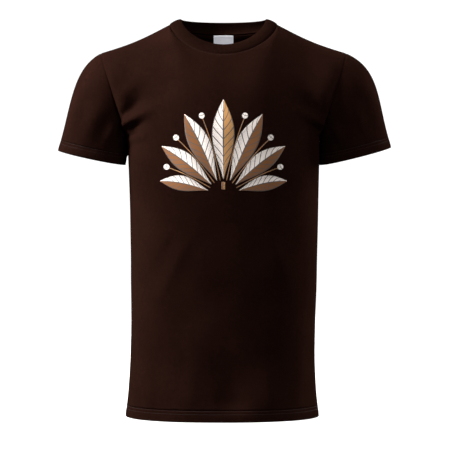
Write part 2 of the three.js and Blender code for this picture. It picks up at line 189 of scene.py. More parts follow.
def panel_top(side, angle):
    """A panel's upper edge: the neck seam out to NECK_EDGE_ANGLE, then a sagging line to the shoulder."""
    size, sign = np.abs(angle), np.where(angle < 0, -1, 1)
    neck = neck_seam_point(side, np.minimum(size / NECK_EDGE_ANGLE, 1) * QUARTER)
    share = np.clip((size - NECK_EDGE_ANGLE) / (QUARTER - NECK_EDGE_ANGLE), 0, 1)
    x = lerp(NECK_HALF_WIDTH, SHOULDER_HALF_WIDTH, share)
    z = lerp(NECK_SIDE_HEIGHT, SHOULDER_HEIGHT, share) - SHOULDER_SAG * np.sin(np.pi * share)
    in_neck = (size <= NECK_EDGE_ANGLE)[..., None]
    return np.where(in_neck, neck, vec(x, 0 * x, z)) * vec(sign, 1 + 0 * sign, 1 + 0 * sign)


def average_top(side, angle):
    """The panel's top averaged over a spread of angles, which rounds off the corner between neckline and
    shoulder; the spread shrinks to 0 towards the side seams."""
    spread = np.minimum(EASED_SPREAD, QUARTER - np.abs(angle))
    steps = np.linspace(-1, 1, 65)
    weights = 1 + np.cos(np.pi * steps)
    return sum(w * panel_top(side, angle + k * spread) for k, w in zip(steps, weights / weights.sum()))


EASED_ANGLES = np.linspace(-QUARTER, QUARTER, 1601)
EASED_TOPS = {side: average_top(side, EASED_ANGLES) for side in (-1, 1)}


def yoke_point(side, angle, share):
    """One cubic a column, from the armpit line (share 0) over the chest or back to the panel's top (1). It
    aims at the averaged top, and only its last part bends to the real one, as cloth does below a collar."""
    across = np.abs(np.sin(angle))
    edge = across**8
    swing = 4 * ARMHOLE_DEPTH
    rise = YOKE[side]["rise"] + 70 * across
    lean = lerp(YOKE[side]["lean"], 175, smoothstep(across, 0, 0.6))
    leave = vec(0 * edge, side * swing * edge, rise * (1 - edge))
    lie = lerp(100, 25, smoothstep(across, 0, 0.7)) * (1 - edge)
    arrive = vec(0 * edge, -side * lerp(lean, swing, edge), lie)
    start = section_point(side, angle, np.full(np.shape(angle), float(ARMPIT_HEIGHT)))
    eased = between(angle, EASED_ANGLES, EASED_TOPS[side])
    bend = smoothstep(share, 0.6, 1)[..., None] ** 2.5
    return cubic(start, eased, leave, arrive, share[..., None]) + (panel_top(side, angle) - eased) * bend


def panel_point(side, angle, share):
    """A body panel: share 0 to 1 goes from the hem's lower edge to the armpit, 1 to 2 on to the top."""
    angle, share = np.broadcast_arrays(np.asarray(angle, float), np.asarray(share, float))
    low = section_point(side, angle, np.minimum(share, 1) * ARMPIT_HEIGHT)
    high = yoke_point(side, angle, np.clip(share - 1, 0, 1))
    return np.where((share <= 1)[..., None], low, high)


# %% [markdown]
# A sleeve is a tube of cubics. Each line starts on the armhole, crosses the seam outwards, and turns
# down the arm to the hem, which is a tilted ellipse.

# %% The sleeve as a function of the turn round the arm and the share of the way down
def cuff_point(sign, turn):
    """The sleeve's edge: an ellipse from the underarm (turn 0) by the front to the outside (half a turn)."""
    size, out, front = CUFFS[sign], -np.cos(turn), np.sin(turn)
    x = sign * (size["x"] + size["half_width"] * out)
    z = size["z"] + size["rise"] * out - CUFF_DROOP * front
    return vec(x, -CUFF_HALF_DEPTH * front, z)


def arm_direction(sign, turn):
    """The way the cloth runs into the sleeve hem: nearly straight down inside, leaning out outside."""
    outer = (1 - np.cos(turn)) / 2
    return unit(vec(sign * lerp(CUFFS[sign]["lean"], 0.27, outer), 0 * outer, -1 + 0 * outer))


def armhole_point(sign, turn):
    """The edge of the body panels: up the front from the armpit, then down the back."""
    front = turn <= math.pi
    share = 1 + np.where(front, turn / math.pi, 2 - turn / math.pi)
    angle = np.full(np.shape(turn), sign * QUARTER)
    return np.where(front[..., None], panel_point(-1, angle, share), panel_point(1, angle, share))


def sleeve_point(sign, turn, share):
    """Share 0 is the armhole seam and 1 the sleeve's edge, over the whole tube with its hem."""
    turn, share = np.broadcast_arrays(np.asarray(turn, float), np.asarray(share, float))
    outer, front = (1 - np.cos(turn)) / 2, np.sin(turn)
    end = cuff_point(sign, turn) - HEM_WIDTH * arm_direction(sign, turn)
    out = sign * lerp(10, CUFFS[sign]["swell"], outer)
    leave = vec(out, -18 * front, lerp(-30, -74, outer) - 34 * np.abs(front))
    arrive = arm_direction(sign, turn) * lerp(30, 210, outer)[..., None]
    body = cubic(armhole_point(sign, turn), end, leave, arrive, np.minimum(share, 1)[..., None])
    return body + arm_direction(sign, turn) * (HEM_WIDTH * np.maximum(share - 1, 0))[..., None]


# %% [markdown]
# Jersey hangs in soft folds, and it is pulled into sharper ones that run from the armpits, where the
# sleeve is sewn in at an angle that the arm no longer holds. Each fold is a ridge or a hollow along a
# line on the chest or back. They all fade out before a seam, so the panels still meet.

# %% Folds on the body
def crease(x, z, start_x, start_z, end_x, end_z, height, width):
    """A ridge, or a hollow where height is negative, from start to end: a bell exp(-s^2) across it, s being
    the distance from its line over a width that grows along it, with a soft start and end."""
    dx, dz = end_x - start_x, end_z - start_z
    length = math.hypot(dx, dz)
    along = ((x - start_x) * dx + (z - start_z) * dz) / length**2
    aside = ((z - start_z) * dx - (x - start_x) * dz) / length
    s = aside / (width * (0.7 + 0.6 * np.clip(along, 0, 1)))
    return height * np.exp(-(s**2)) * smoothstep(along, -0.15, 0.2) * (1 - smoothstep(along, 0.4, 1.1))


# Each: start x, z; end x, z; height; width. The wearer's right is -x. The armpits' pulls come first.
CHEST_FOLDS = [
    (-188, 514, -106, 549, 5.5, 8),
    (-180, 532, -134, 572, -4.5, 9),
    (-186, 505, -132, 524, -4.0, 5),
    (-170, 492, -120, 502, 2.6, 9),
    (-182, 562, -118, 622, 2.6, 14),
    (-158, 470, -112, 400, 1.8, 15),
    (188, 514, 116, 545, 5.0, 8),
    (180, 532, 142, 568, -4.5, 9),
    (186, 505, 136, 520, -4.0, 5),
    (170, 492, 124, 500, 2.4, 9),
    (182, 562, 122, 616, 2.4, 14),
    (160, 460, 122, 380, 1.6, 15),
    (-62, 312, -132, 170, 1.8, 14),
    (-84, 322, -146, 210, -1.2, 12),
    (76, 330, 134, 190, 1.8, 16),
    (16, 20, 20, 124, -7.5, 40),
    (-58, 24, -48, 150, 2.4, 18),
    (84, 24, 72, 140, 2.4, 18),
    (132, 22, 140, 180, 2.0, 14),
    (-128, 22, -140, 170, 2.2, 14),
]
BACK_FOLDS = [
    (-186, 512, -96, 560, 5.5, 9),
    (-180, 530, -122, 590, -4.0, 10),
    (-184, 500, -104, 516, -3.6, 6),
    (186, 512, 98, 556, 5.5, 9),
    (180, 530, 124, 588, -4.0, 10),
    (184, 500, 102, 512, -3.6, 6),
    (-170, 350, -20, 262, 3.4, 15),
    (-170, 318, -40, 240, -2.6, 14),
    (172, 330, 10, 236, 3.2, 16),
    (172, 296, 40, 222, -2.6, 14),
    (-166, 230, -10, 196, 2.4, 15),
    (-50, 22, -60, 190, 2.6, 20),
    (0, 22, -4, 150, -2.4, 20),
    (54, 22, 62, 170, 2.6, 20),
    (122, 22, 136, 210, 2.4, 16),
    (-122, 22, -134, 200, 2.4, 16),
]


def body_folds(side, x, z, angle, share):
    """How far the cloth stands out: its folds and a slow unevenness, and 0 at each seam but the hem's."""
    folds = CHEST_FOLDS if side < 0 else BACK_FOLDS
    height = sum(crease(x, z, *each) for each in folds)
    height = height + 0.8 * np.sin(x / 31 + z / 57 + side) * np.sin(z / 83 - x / 140)
    height = height + 0.5 * np.sin(x / 13 - z / 41 + 2 * side) * np.sin(z / 29 + x / 52)
    side_seam = smoothstep(QUARTER - np.abs(angle), 0, 0.16)
    top = smoothstep(2 - share, 0.01, 0.2)
    return height * side_seam * top


print(len(CHEST_FOLDS), "folds on the chest and", len(BACK_FOLDS), "on the back")

# %% [markdown]
# Cloth has two faces. A shell takes a grid of points, moves it out and in by a set amount along the
# surface's normals, and closes it all round its edge. Where the cloth turns under into a seam, its
# edge sinks a little, so two neighbours meet in the narrow valley that a sewn seam makes.

# %% From a grid of points to a closed piece of cloth
def grid_normals(points, wrap):
    """Unit normals by the cross product of the differences across and along the grid."""
    if wrap:
        across = np.roll(points, -1, axis=1) - np.roll(points, 1, axis=1)
    else:
        across = np.gradient(points, axis=1)
    return unit(np.cross(across, np.gradient(points, axis=0)))


def quads(rows, cols, wrap):
    """The corner numbers of a grid's quads, counter-clockwise as seen against its normals."""
    i, j = np.meshgrid(np.arange(rows - 1), np.arange(cols if wrap else cols - 1), indexing="ij")
    k = (j + 1) % cols
    return np.stack([i * cols + j, i * cols + k, (i + 1) * cols + k, (i + 1) * cols + j], -1).reshape(-1, 4)


def rim(rows, cols, wrap):
    """The grid's edge as pairs of corners, in the order in which a wall on it faces outwards."""
    j = np.arange(cols if wrap else cols - 1)
    k = (j + 1) % cols
    top = (rows - 1) * cols
    pairs = [np.stack([k, j], -1), np.stack([top + j, top + k], -1)]
    if not wrap:
        i = np.arange(rows - 1) * cols
        pairs += [np.stack([i, i + cols], -1), np.stack([i + 2 * cols - 1, i + cols - 1], -1)]
    return np.concatenate(pairs)


def flat_lengths(points, wrap):
    """Distances along the cloth from its first row and its middle column, in metres: its own knitting grid.
    A closed ring has one column more than its points have, so that the pattern runs on up to the join."""
    if wrap:
        points = np.concatenate([points, points[:, :1]], axis=1)
    u = lengths(points, 1)
    if not wrap:
        u = u - u[:, [points.shape[1] // 2]]
    return np.stack([u, lengths(points, 0)], -1) * MM


def shell(name, points, outward, inward, material, wrap=False, flip=False, uv=None):
    """Two faces at +outward and -inward millimetres along the normals, joined by a wall round the rim."""
    rows, cols = points.shape[:2]
    normals = grid_normals(points, wrap) * (-1 if flip else 1)
    outward, inward = (np.broadcast_to(d, (rows, cols))[..., None] for d in (outward, inward))
    both = np.concatenate([points + normals * outward, points - normals * inward]).reshape(-1, 3)
    both = (both + MOVED) * MM
    n = rows * cols
    face, edge = quads(rows, cols, wrap), rim(rows, cols, wrap)
    wall = np.stack([edge[:, 0], edge[:, 1], edge[:, 1] + n, edge[:, 0] + n], -1)
    faces = np.concatenate([face, face[:, ::-1] + n, wall])
    uv = flat_lengths(points, wrap) if uv is None else uv
    uv_face, uv_edge = quads(rows, uv.shape[1], False), rim(rows, uv.shape[1], False)[: len(edge)]
    places = np.concatenate([uv_face, uv_face[:, ::-1], uv_edge[:, [0, 1, 1, 0]]])
    if flip:
        faces, places = faces[:, ::-1], places[:, ::-1]
    return make_mesh(name, both, faces, material, uv.reshape(-1, 2)[places])


def make_mesh(name, points, faces, material, uv=None):
    """A smooth-shaded mesh object at the origin, with an optional UV for each corner of each face."""
    mesh = bpy.data.meshes.new(name)
    mesh.vertices.add(len(points))
    mesh.vertices.foreach_set("co", np.asarray(points, np.float32).ravel())
    corners = faces.shape[1]
    mesh.loops.add(faces.size)
    mesh.loops.foreach_set("vertex_index", faces.astype(np.int32).ravel())
    mesh.polygons.add(len(faces))
    mesh.polygons.foreach_set("loop_start", np.arange(len(faces), dtype=np.int32) * corners)
    mesh.polygons.foreach_set("loop_total", np.full(len(faces), corners, np.int32))
    mesh.update(calc_edges=True)
    mesh.validate()
    mesh.polygons.foreach_set("use_smooth", np.ones(len(mesh.polygons), bool))
    if uv is not None:
        layer = mesh.uv_layers.new(name="cloth")
        layer.data.foreach_set("uv", np.asarray(uv, np.float32).ravel())
    mesh.materials.append(material)
    obj = bpy.data.objects.new(name, mesh)
    bpy.context.scene.collection.objects.link(obj)
    return obj


# %% [markdown]
# Materials. Each is built from nodes with one small helper, and its colours are written as they
# would be picked in a paint program, then turned to the linear values that Blender works in.

# %% Colours and nodes
def linear(hex_colour):
    """A colour such as "#38211c" as linear red, green, blue and alpha."""
    srgb = np.array([int(hex_colour[i : i + 2], 16) for i in (1, 3, 5)]) / 255
    low, high = srgb / 12.92, ((srgb + 0.055) / 1.055) ** 2.4
    return (*np.where(srgb <= 0.04045, low, high), 1.0)


def add_node(material, kind, *values, stops=(), **named):
    """One node; a kind in capitals is a Math node's operation. Values fill its sockets in order, None leaving
    one as it is. A name in small letters is a setting, another is a socket's, with _ for a space. Nodes and
    sockets are linked. Stops fill a ramp."""
    if kind.isupper():
        kind, named["operation"] = "Math", kind
    node = material.node_tree.nodes.new("ShaderNode" + kind)
    for key in [key for key in named if key.islower()]:
        setattr(node, key, named.pop(key))
    filled = [(i, value) for i, value in enumerate(values) if value is not None]
    for key, value in filled + [(key.replace("_", " "), value) for key, value in named.items()]:
        if isinstance(value, bpy.types.Node):
            value = value.outputs[0]
        if isinstance(value, bpy.types.NodeSocket):
            material.node_tree.links.new(value, node.inputs[key])
        else:
            node.inputs[key].default_value = value
    for i, (place, colour) in enumerate(stops):
        point = node.color_ramp.elements[i] if i < 2 else node.color_ramp.elements.new(place)
        point.position, point.color = place, linear(colour)
    return node


def new_material(name):
    """An empty material, and add_node for it."""
    material = bpy.data.materials.new(name)
    material.use_nodes = True
    material.node_tree.nodes.clear()
    return material, functools.partial(add_node, material)


# %% [markdown]
# Single jersey is knitted in columns, called wales, of small V-shaped loops. Fine T-shirt jersey has
# about 12 wales to the centimetre. The pattern reads each piece's own UV, which is in metres along
# the cloth, so it follows every fold and never slides. Cotton is matt, with short fibres that catch
# light at a grazing angle, which the sheen gives. Dye takes unevenly on a yarn, and a washed shirt
# is a little faded, so three sizes of noise vary the brown. The loops' height tints it too, lighter on
# their crests and darker in the grooves between them, which is painted shade.

# %% Knitted cloth
WALE, COURSE = 0.85 * MM, 0.70 * MM
FIBRE, SLUB, WASH = 0.9 * MM, 5 * MM, 90 * MM


def knit_height(node, uv, wale):
    """A pattern of Vs: a sine along the wale whose phase runs ahead with distance from the wale's middle."""
    split = node("SeparateXYZ", uv)
    within = node("FRACT", node("DIVIDE", split.outputs[0], wale))
    along = node("DIVIDE", split.outputs[1], COURSE)
    from_middle = node("ABSOLUTE", node("SUBTRACT", within, 0.5))
    phase = node("MULTIPLY_ADD", from_middle, 1.1, along)
    loops = node("SINE", node("MULTIPLY", phase, 2 * math.pi))
    arch = node("SINE", node("MULTIPLY", within, math.pi))
    return node("MULTIPLY_ADD", loops, 0.35, arch)


def knitted(name, dark, middle, light, wale=WALE, relief=0.12):
    """Dyed cotton knit: the brown varies with fibre, yarn and wash, and with painted shade between the loops;
    the relief is the loops' height in mm.
    """
    material, node = new_material(name)
    uv, place = node("UVMap", uv_map="cloth"), node("TexCoord").outputs["Object"]
    height = knit_height(node, uv, wale)
    fibre = node("TexNoise", Vector=uv, Scale=1 / FIBRE, Detail=3.0, Roughness=0.7)
    slub = node("TexNoise", Vector=place, Scale=1 / SLUB, Detail=3.0, Roughness=0.6)
    wash = node("TexNoise", Vector=place, Scale=1 / WASH)
    mottle_and_loop_shade = node("MULTIPLY", slub, 0.35)
    # The loops' height darkens the grooves between them and lightens their crests: painted shade.
    for part, share in ((fibre, 0.45), (wash, 0.35), (height, 0.06)):
        mottle_and_loop_shade = node("MULTIPLY_ADD", part, share, mottle_and_loop_shade)
    colour = node("ValToRGB", mottle_and_loop_shade, stops=[(0.3, dark), (0.56, middle), (0.85, light)])
    loops = node("MULTIPLY_ADD", fibre, 0.5, height)
    bump = node("Bump", Height=loops, Distance=relief * MM)
    sheen = {"Sheen_Weight": 0.03, "Sheen_Roughness": 0.4, "Sheen_Tint": linear("#9a6a52")}
    matt = {"Roughness": 0.9, "Specular_IOR_Level": 0.0}
    node("OutputMaterial", node("BsdfPrincipled", Base_Color=colour, Normal=bump, **matt, **sheen))
    return material


JERSEY_CLOTH = knitted("combed cotton jersey, dyed brown", "#110704", "#180b08", "#22120d")
RIB_CLOTH = knitted("cotton rib knit, dyed brown", "#0f0603", "#160a07", "#1e100b", 1.0 * MM, 0.08)
TAPE_CLOTH = knitted("cotton tape, dyed brown", "#150906", "#1e100c", "#281611", 1.2 * MM)
print("a wale is", WALE / MM, "mm wide and a course", COURSE / MM, "mm high")

# %% [markdown]
# The two body panels. The grid is finest next to the seams, where the cloth turns under. The rows
# go from the hem seam to the neckline and shoulders.

# %% Front and back panels
SEAM_SINK = 0.7  # how far the cloth turns under at a sewn seam
SEAM_REACH = 3.2  # and how far from the seam it starts to
EDGE_STEPS = np.array([0.0, 0.003, 0.008, 0.016, 0.027])
STEP = 1e-3  # of an angle or a share, to either side, for a slope


def spaced(low, high, count, extra):
    """Even steps from low to high, with extra ones beside an end that has a seam."""
    return np.unique(np.round(np.concatenate([np.linspace(low, high, count), extra]), 6))


def sink(points, normals, distance):
    """Lowers the cloth by SEAM_SINK at a seam, and smoothly less up to SEAM_REACH from it."""
    depth = SEAM_SINK * (1 - smoothstep(distance, 0, SEAM_REACH)) ** 1.5
    return points - normals * depth[..., None]


neck_angles = np.linspace(-NECK_EDGE_ANGLE, NECK_EDGE_ANGLE, 61)
outer_angles = spaced(NECK_EDGE_ANGLE, QUARTER, 52, QUARTER - EDGE_STEPS)[1:]
PANEL_ANGLES = np.concatenate([-outer_angles[::-1], neck_angles, outer_angles])
YOKE_SHARES = spaced(1, 2, 64, 2 - EDGE_STEPS)[1:]
PANEL_SHARES = np.concatenate([np.linspace(HEM_WIDTH / ARMPIT_HEIGHT, 1, 136), YOKE_SHARES])


def folded_panel(side, angle, share):
    """The panel's points with its folds, which stand out along the surface's normals."""
    points = panel_point(side, angle, share)
    height = body_folds(side, points[..., 0], points[..., 2], angle, share)
    across = panel_point(side, angle + STEP, share) - panel_point(side, angle - STEP, share)
    up = panel_point(side, angle, np.minimum(share + STEP, 2)) - panel_point(side, angle, share - STEP)
    return points + unit(np.cross(across, up)) * (-side * height)[..., None]


def body_panel(name, side):
    """A whole panel; the edges that are sewn to a neighbour sink."""
    points = folded_panel(side, *np.meshgrid(PANEL_ANGLES, PANEL_SHARES))
    up, across = lengths(points, 0), lengths(points, 1)
    distance = np.minimum(up[-1:] - up, np.minimum(across, across[:, -1:] - across))
    points = sink(points, grid_normals(points, False) * -side, distance)
    return shell(name, points, JERSEY / 2, JERSEY / 2, JERSEY_CLOTH, flip=side > 0)


front = body_panel("front_panel_cloth", -1)
back = body_panel("back_panel_cloth", 1)
for panel in (front, back):
    print(panel.name, len(panel.data.polygons), "faces")

# %% [markdown]
# The sleeves. Their cap is eased into the armhole, so short soft folds leave the seam at the front and
# the back, and longer ones drop from the shoulder to the hem.

# %% Sleeves
SLEEVE_FOLDS = [
    (0.62, 0.22, 3.0, 0.20, 0.16),
    (1.05, 0.50, 3.2, 0.16, 0.34),
    (1.70, 0.60, 2.2, 0.22, 0.36),
    (2.45, 0.62, 2.0, 0.24, 0.34),
    (3.60, 0.64, 2.2, 0.24, 0.34),
    (4.45, 0.56, 2.6, 0.20, 0.34),
    (5.20, 0.48, 3.2, 0.16, 0.32),
    (5.70, 0.22, 3.0, 0.20, 0.16),
]


def sleeve_folds(turn, share):
    """Crests at given turns and shares, each with a shallow trough behind it, fading at the armhole seam."""
    height = 0 * turn
    for at, down, size, wide, long in SLEEVE_FOLDS:
        s = (turn - at - 0.35 * (share - down)) / wide
        reach = np.exp(-(((share - down) / long) ** 2))
        height = height + size * reach * (np.exp(-(s**2)) - 0.5 * np.exp(-(((s - 1.5) / 1.1) ** 2)))
    return height * smoothstep(share, 0.02, 0.25)


# Below the armpit the sleeve is pressed to the body: how far, and the shares at which that fades.
UNDERARM_PRESS = {1: (2.0, 1.6, 2.4), -1: (2.4, 0.95, 1.35)}


def underarm_press(sign, turn, share):
    """A soft bulge of the sleeve towards the body, round the underarm."""
    size, full, end = UNDERARM_PRESS[sign]
    around = np.exp(-((np.sin(turn / 2) / 0.2) ** 2))
    return size * around * smoothstep(share, 0.1, 0.7) * (1 - smoothstep(share, full, end))


def sleeve_surface(sign, turn, share):
    """The sleeve with its folds, which stand out along the normals of a grid that closes on itself."""
    points = sleeve_point(sign, turn, share)
    height = sleeve_folds(turn, share) + underarm_press(sign, turn, share)
    return points + grid_normals(points, True) * -sign * height[..., None]


SIDES = {"left": 1, "right": -1}
SLEEVE_TURNS = np.linspace(0, 2 * math.pi, 192, endpoint=False)


def sleeve(name, sign):
    """The tube from the armhole seam to its hem seam."""
    points = sleeve_surface(sign, *np.meshgrid(SLEEVE_TURNS, spaced(0, 1, 60, EDGE_STEPS)))
    points = sink(points, grid_normals(points, True) * -sign, lengths(points, 0))
    return shell(name, points, JERSEY / 2, JERSEY / 2, JERSEY_CLOTH, wrap=True, flip=sign > 0)


sleeves = {side: sleeve(f"sleeve_{side}_cloth", sign) for side, sign in SIDES.items()}
print("each sleeve has", len(sleeves["left"].data.polygons), "faces")

# %% [markdown]
# The hems. The cloth is folded up inside and held by a twin row of stitches, so a hem is the same
# cloth twice as thick, flush with the panel outside.

# %% Bottom and sleeve hems
HEM_ROWS = np.array([0.0, 0.015, 0.05, 0.12, 0.25, 0.4, 0.55, 0.7, 0.85, 1.0])
HEM_STITCHES = (0.68, 0.95)  # the two rows, as shares of the hem's width
HEM_INWARD = 1.2  # the cloth that is turned up inside


def hem_swell(share):
    """A hem is roundest below its stitches and pinched at each row: a half sine, less a bell a row."""
    pinch = sum(np.exp(-(((share - at) / 0.06) ** 2)) for at in HEM_STITCHES)
    return 0.25 * np.sin(np.pi * np.clip(share / HEM_STITCHES[0], 0, 1)) - 0.3 * pinch


def bottom_hem():
    """A closed ring: across the front from one side seam to the other, then back behind."""
    angle, share = np.meshgrid(PANEL_ANGLES, HEM_ROWS)
    rows = share * HEM_WIDTH / ARMPIT_HEIGHT
    front_half = folded_panel(-1, angle, rows)[:, :-1]
    back_half = folded_panel(1, angle, rows)[:, :0:-1]
    points = np.concatenate([front_half, back_half], axis=1)
    share = share[:, :1] + 0 * points[..., 0]
    thick = JERSEY / 2 + hem_swell(share)
    return shell("bottom_hem_cloth", points, thick, HEM_INWARD, JERSEY_CLOTH, wrap=True)


def sleeve_hem(name, sign):
    """A ring below the sleeve, with the sleeve's own folds."""
    turn, share = np.meshgrid(SLEEVE_TURNS, 1 + HEM_ROWS)
    thick, points = JERSEY / 2 + hem_swell(2 - share), sleeve_surface(sign, turn, share)
    return shell(name, points, thick, HEM_INWARD, JERSEY_CLOTH, wrap=True, flip=sign > 0)


hem = bottom_hem()
sleeve_hems = {side: sleeve_hem(f"sleeve_hem_{side}_cloth", sign) for side, sign in SIDES.items()}
print("hems:", hem.name, *(piece.name for piece in sleeve_hems.values()))

# %% [markdown]
# The collar is a folded band of rib knit, stretched a little as it is sewn on so that it hugs the
# neck. Its ribs run up and down and are real geometry here, because they show at the top edge.

# %% Collar
RIB_PITCH = 2.3
RIB_COLUMNS = 6


def neck_loop(turns):
    """A whole turn of the neck as side and quarter turns: 0 is the front's middle, pi the back's."""
    side = np.where(np.cos(turns) >= 0, -1, 1)
    quarter = np.where(side < 0, turns, np.pi - turns)
    return side, quarter


def neck_pair(turns):
    """The seam point and the top point for each turn."""
    side, quarter = neck_loop(turns)
    front_side = (side < 0)[..., None]
    seam = np.where(front_side, neck_seam_point(-1, quarter), neck_seam_point(1, quarter))
    top = np.where(front_side, collar_top_point(-1, quarter), collar_top_point(1, quarter))
    return seam, top


def even_turns(count):
    """Turns from 0 to a whole turn that are evenly spaced along the neck seam."""
    fine = np.linspace(-QUARTER, 3 * QUARTER, 4001)
    length = lengths(neck_pair(fine)[0], 0)
    return np.interp(np.linspace(0, length[-1], count, endpoint=False), length, fine), length[-1]


def collar():
    """The band: a straight line from seam to fold, arched outwards, with the ribs as a rounded wave."""
    _, length = even_turns(8)
    ribs = round(length / RIB_PITCH)
    turns, _ = even_turns(ribs * RIB_COLUMNS)
    rows = np.array([0, 0.03, 0.08, 0.16, 0.3, 0.45, 0.6, 0.75, 0.87, 0.94, 0.98, 1.0])
    turn, share = np.meshgrid(turns, rows)
    seam, top = neck_pair(turn)
    points = lerp(seam, top, share[..., None])
    normals = grid_normals(points, True)
    wave = np.cos(np.arange(len(turns)) / RIB_COLUMNS * 2 * math.pi) * smoothstep(share, 0, 0.1)
    arch = 1.6 * np.sin(np.pi * share) - 1.1 * (1 - smoothstep(share, 0, 0.12))
    points = points + normals * arch[..., None]
    roll = np.sqrt(np.maximum(1 - ((share - 0.86) / 0.14).clip(0, 1) ** 2, 0.02))
    outward = (RIB / 2 + 0.28 * wave) * roll
    inward = (RIB / 2 + 0.2 * wave) * roll
    uv = np.stack(np.meshgrid(np.linspace(0, length, len(turns) + 1), rows * 22), -1) * MM
    print(f"collar: {ribs} ribs round {length:.0f} mm")
    return shell("collar_rib_cloth", points, outward, inward, RIB_CLOTH, wrap=True, uv=uv)


collar_band = collar()

# %% [markdown]
# Inside the back of the neck, a narrow tape covers the collar seam so that it doesn't scratch, and a
# woven label is sewn in under it. Both follow the back panel, a little in front of its inner face.

# %% Neck tape
YOKE_LENGTH = 190  # of the middle column of the back's yoke, about


def inside_back(angle, below, inset):
    """A point so far below the neck seam and so far inside the back panel's middle, in millimetres."""
    share = 2 - below / YOKE_LENGTH
    points = folded_panel(1, angle, share)
    across = folded_panel(1, angle + 0.01, share) - folded_panel(1, angle - 0.01, share)
    up = points - folded_panel(1, angle, share - 0.01)
    return points + unit(np.cross(across, up)) * inset


def neck_tape():
    """A band 10 mm wide; its middle swells a little between the two rows of stitches that hold it."""
    angle, below = np.meshgrid(np.linspace(-0.5, 0.5, 120), np.linspace(12.5, 2.5, 11))
    points = inside_back(angle, below, 1.9)
    swell = 0.3 * np.cos((below - 7.5) / 10 * np.pi)
    return shell("neck_tape_cloth", points, 0.4 + swell, 0.4, TAPE_CLOTH)


tape = neck_tape()
print(tape.name, len(tape.data.polygons), "faces")

# %% [markdown]
# The label is a strip of white polyester satin, whose long warp threads float on top and shine along
# their length. It also glows a little, though it is no lamp: painted light that brightens it in the
# shade inside the neck.

# %% Neck label
WARP, WEFT = 0.4 * MM, 0.5 * MM


def satin():
    """Woven satin: a sine for the warp threads, and a weaker one across it for the weft."""
    material, node = new_material("white woven satin")
    uv = node("UVMap", uv_map="cloth")
    split = node("SeparateXYZ", uv)
    warp = node("MULTIPLY", split.outputs[0], 2 * math.pi / WARP)
    weft = node("MULTIPLY", split.outputs[1], 2 * math.pi / WEFT)
    warp, weft = node("SINE", warp), node("SINE", weft)
    relief = node("MULTIPLY_ADD", weft, 0.4, warp)
    uneven = node("TexNoise", Vector=uv, Scale=1 / (3 * MM), Detail=3.0, Roughness=0.6)
    colour = node("ValToRGB", uneven, stops=[(0.25, "#e6e7ea"), (0.6, "#f2f3f5"), (0.9, "#fbfbfc")])
    bump = node("Bump", Height=relief, Distance=0.05 * MM)
    gloss = {"Roughness": 0.42, "Sheen_Weight": 0.2, "Anisotropic": 0.4}
    # Painted light: an emission that brightens the label in the shade inside the neck.
    painted_glow = {"Emission_Color": linear("#f2f4ff"), "Emission_Strength": 0.3}
    node("OutputMaterial", node("BsdfPrincipled", Base_Color=colour, Normal=bump, **gloss, **painted_glow))
    return material


LABEL_WIDTH, LABEL_LENGTH = 36, 44


def label_point(across, down):
    """The label hangs from the neck seam, bowed slightly forward, its lower end 3.5 mm off the back panel."""
    z = NECK_BACK["seam_height"] - 3 - LABEL_LENGTH * down
    share = np.interp(z.ravel(), label_heights, label_shares).reshape(z.shape)
    wall = np.minimum(*(folded_panel(1, angle + 0 * share, share)[..., 1] for angle in (0, 0.18)))
    inset = 3.9 + 3.5 * down**1.3 + 0.8 * (1 - across**2)
    return vec(across * LABEL_WIDTH / 2, wall - inset, z)


label_shares = np.linspace(1, 2, 400)
label_heights = folded_panel(1, 0 * label_shares, label_shares)[:, 2]


def neck_label():
    """A strip with its cut edges folded under, which leaves it thicker and rounder round the rim."""
    across, down = np.meshgrid(np.linspace(-1, 1, 41), np.linspace(1, 0, 45))
    edge = np.minimum((1 - np.abs(across)) * LABEL_WIDTH / 2, np.minimum(down, 1 - down) * LABEL_LENGTH)
    thick = 0.22 + 0.14 * (1 - smoothstep(edge, 3.2, 4.2))
    points = label_point(across, down)
    return shell("neck_label_cloth", points, thick, 0.2, satin())


label = neck_label()
print(label.name, LABEL_WIDTH, "by", LABEL_LENGTH, "mm")

# %% [markdown]
# Stitches are short lengths of thread lying on the cloth, each dipping into it at both ends. A curve
# with a bevel would do for one seam. Here they are six-sided beads, five rings a stitch, because a
# whole row of them is worked out at once.

# %% Stitches
def thread():
    """Twisted polyester sewing thread: smoother than the cotton, so it glints a little."""
    material, node = new_material("brown polyester thread")
    shade = node("TexNoise", Vector=node("TexCoord").outputs["Object"], Scale=1 / (2 * MM))
    colour = node("ValToRGB", shade, stops=[(0.3, "#150907"), (0.7, "#221210")])
    shader = node("BsdfPrincipled", Base_Color=colour, Roughness=0.55, Specular_IOR_Level=0.3)
    node("OutputMaterial", shader)
    return material


BROWN_THREAD = thread()

# %% Rows of beads
RING_PLACES = np.array([-1, -0.72, 0, 0.72, 1])
RING_SIZES = np.array([0.25, 0.85, 1, 0.85, 0.25])
ROW_LIFT, THREAD_LIFT, THREAD_DIP = 0.55, 0.05, 0.35
THREAD_RADIUS, STITCH_SHARE = 0.24, 0.8  # the share is how much of the pitch shows on top


def stitch_row(points, normals, pitch=3.1):
    """Beads a pitch apart along a line on the cloth's middle, lifted to its face, with their ends dipping."""
    path = points + normals * ROW_LIFT
    length = lengths(path, 0)
    count = int(length[-1] // pitch)
    centres = (np.arange(count) + 0.5) * length[-1] / count
    middle, normal = between(centres, length, path), unit(between(centres, length, normals))
    after = between(np.minimum(centres + 0.5, length[-1]), length, path)
    ahead = unit(after - between(np.maximum(centres - 0.5, 0), length, path))
    middle, normal, ahead = (v[:, None, None, :] for v in (middle, normal, ahead))
    turn = np.arange(6)[:, None] / 6 * 2 * math.pi
    ring, size = RING_PLACES[:, None, None], THREAD_RADIUS * RING_SIZES[:, None, None]
    beads = middle + ahead * ring * (pitch * STITCH_SHARE / 2)
    beads = beads + unit(np.cross(ahead, normal)) * np.cos(turn) * size
    return beads + normal * (np.sin(turn) * size * 0.8 + THREAD_LIFT - THREAD_DIP * ring**2)


